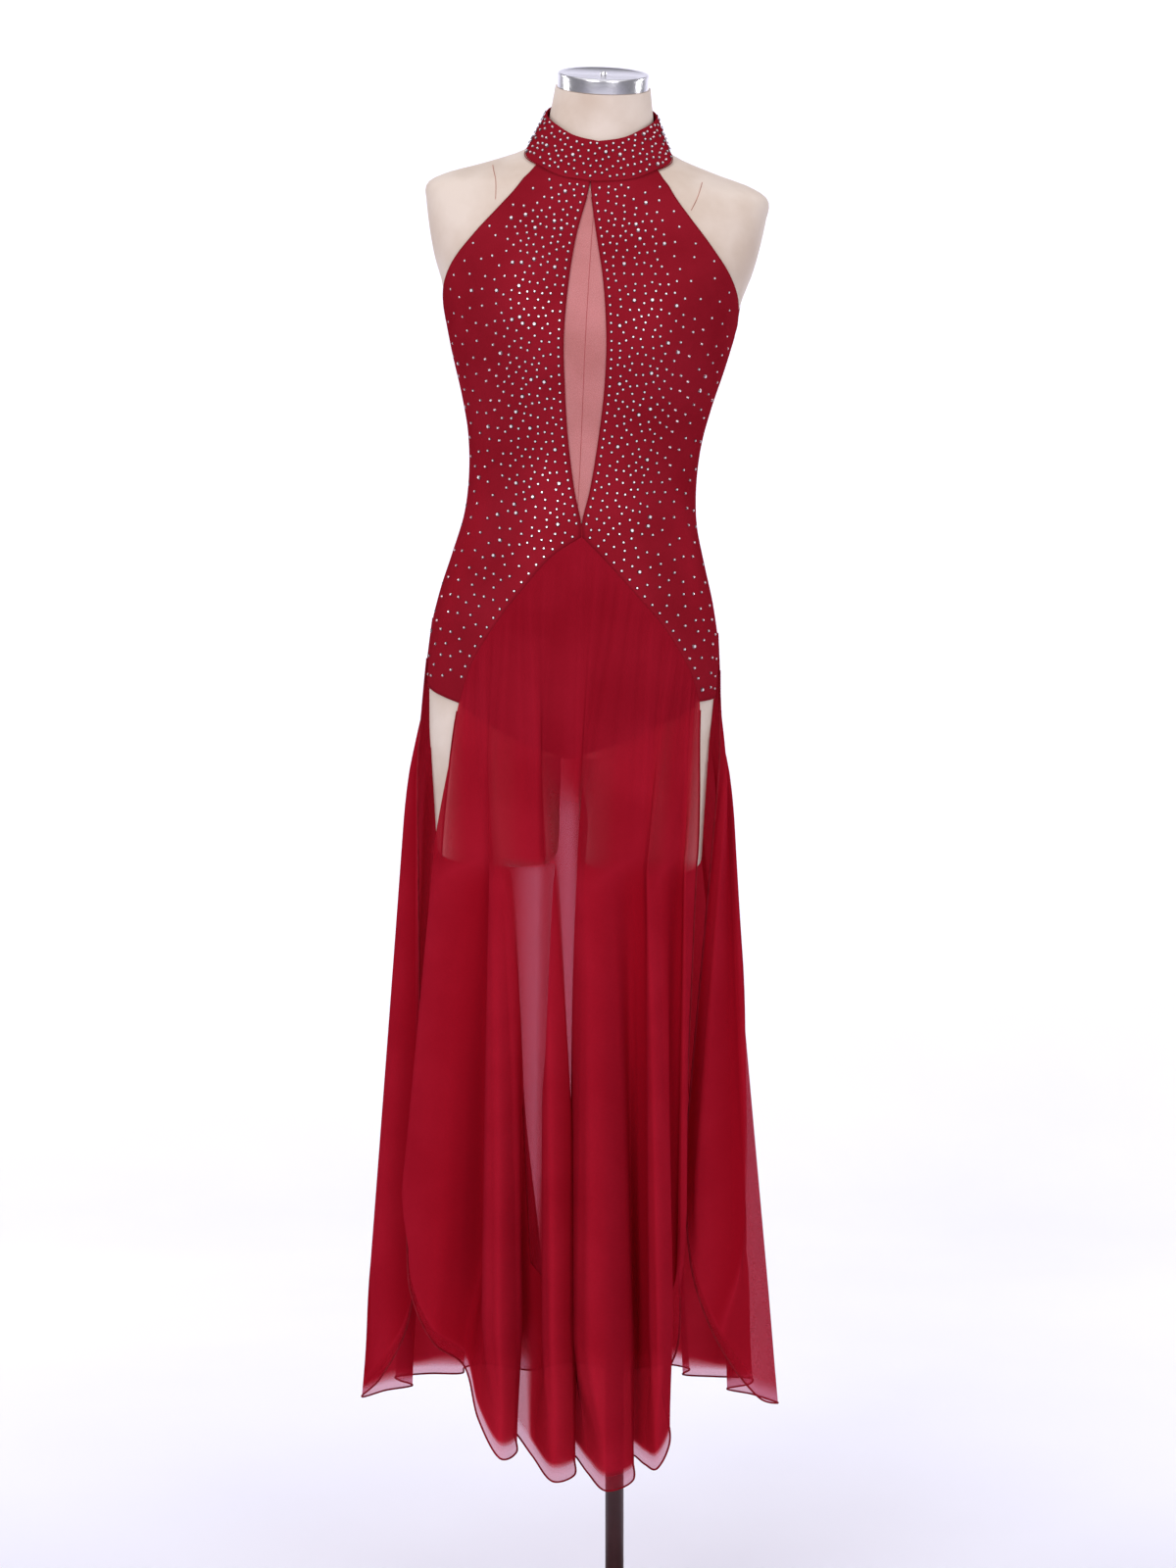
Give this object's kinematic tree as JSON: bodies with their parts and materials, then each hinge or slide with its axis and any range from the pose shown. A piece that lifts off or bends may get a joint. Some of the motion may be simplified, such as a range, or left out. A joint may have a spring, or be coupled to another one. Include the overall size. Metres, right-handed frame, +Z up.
{
  "type": "lyrical dance dress on a dress form with a round stand",
  "caption": "Halter-neck leotard with a leaf-shaped net insert and long sheer front and back skirt panels, worn by a limbless dress form on a pole and round base.",
  "frame": {"origin": "centre of the stand's flat underside, on the pole's axis", "axes": "+Z up along the pole, -Y out of the wearer's front, +X towards the wearer's left"},
  "size_m": [0.4714, 0.3979, 1.7958],
  "materials": {
    "stand_metal": "dark brown powder-coated steel",
    "form_cover": "matt beige cover of a dress form",
    "cap_chrome": "polished chrome plate",
    "stretch_satin": "wine red stretch satin with a soft sheen",
    "net": "wine red stretch net, half see-through",
    "chiffon": "wine red chiffon, half see-through"
  },
  "bodies": {
    "root": {"stand_base": "stand_metal", "stand_pole": "stand_metal", "form_body": "form_cover", "neck_cap": "cap_chrome", "neck_cap_screw": "cap_chrome", "collar": "stretch_satin", "collar_button_upper": "stretch_satin", "collar_button_lower": "stretch_satin", "bodice_front_left": "stretch_satin", "bodice_front_right": "stretch_satin", "bodice_back_left": "stretch_satin", "bodice_back_right": "stretch_satin", "net_insert": "net", "brief_front": "stretch_satin", "brief_gusset": "stretch_satin", "skirt_front": "chiffon", "skirt_back": "chiffon"}
  },
  "joints": []
}
